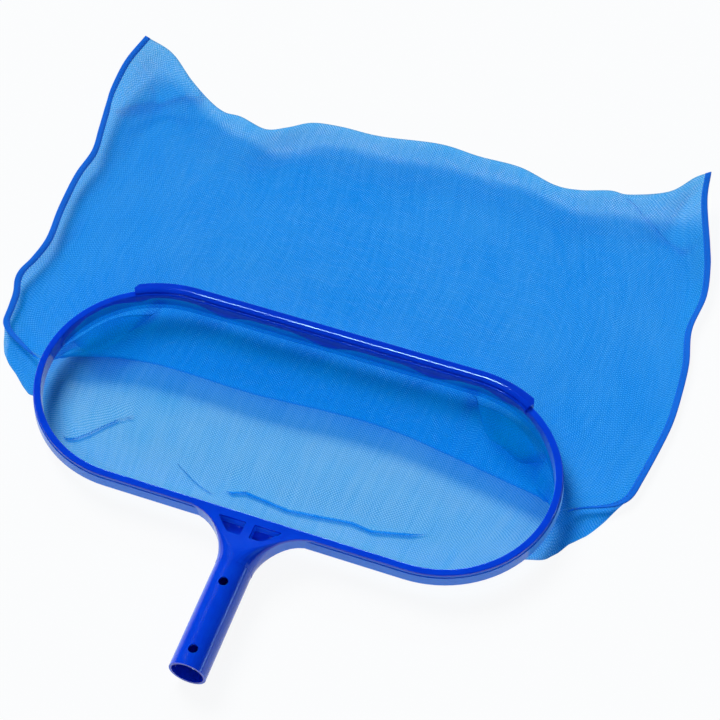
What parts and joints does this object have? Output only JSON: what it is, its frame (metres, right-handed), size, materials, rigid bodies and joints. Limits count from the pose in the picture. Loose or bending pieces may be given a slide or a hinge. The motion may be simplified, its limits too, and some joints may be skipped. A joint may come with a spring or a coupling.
{
  "type": "leaf skimmer net",
  "caption": "Deep-bag leaf net for pools and spas: a moulded oblong hoop on a tubular pole spigot, with a clip-on front lip and a fine mesh bag.",
  "frame": {"origin": "centre of the handle tube's open end", "axes": "+Y along the handle towards the hoop and its front lip, +X along the hoop, +Z out of the bag's mouth"},
  "size_m": [0.5497, 0.5746, 0.0289],
  "materials": {
    "frame_plastic": "injection-moulded polypropylene, semi-gloss",
    "lip_plastic": "soft vinyl, glossy",
    "mesh": "fine woven polyester mesh",
    "binding_tape": "woven polyester tape, stitched",
    "cord": "extruded bead, matt"
  },
  "bodies": {
    "root": {"frame": "frame_plastic", "front_lip": "lip_plastic", "mesh_bag": "mesh", "left_binding": "binding_tape", "right_binding": "binding_tape", "mouth_hem": "binding_tape", "hem_cord": "cord"}
  },
  "joints": []
}
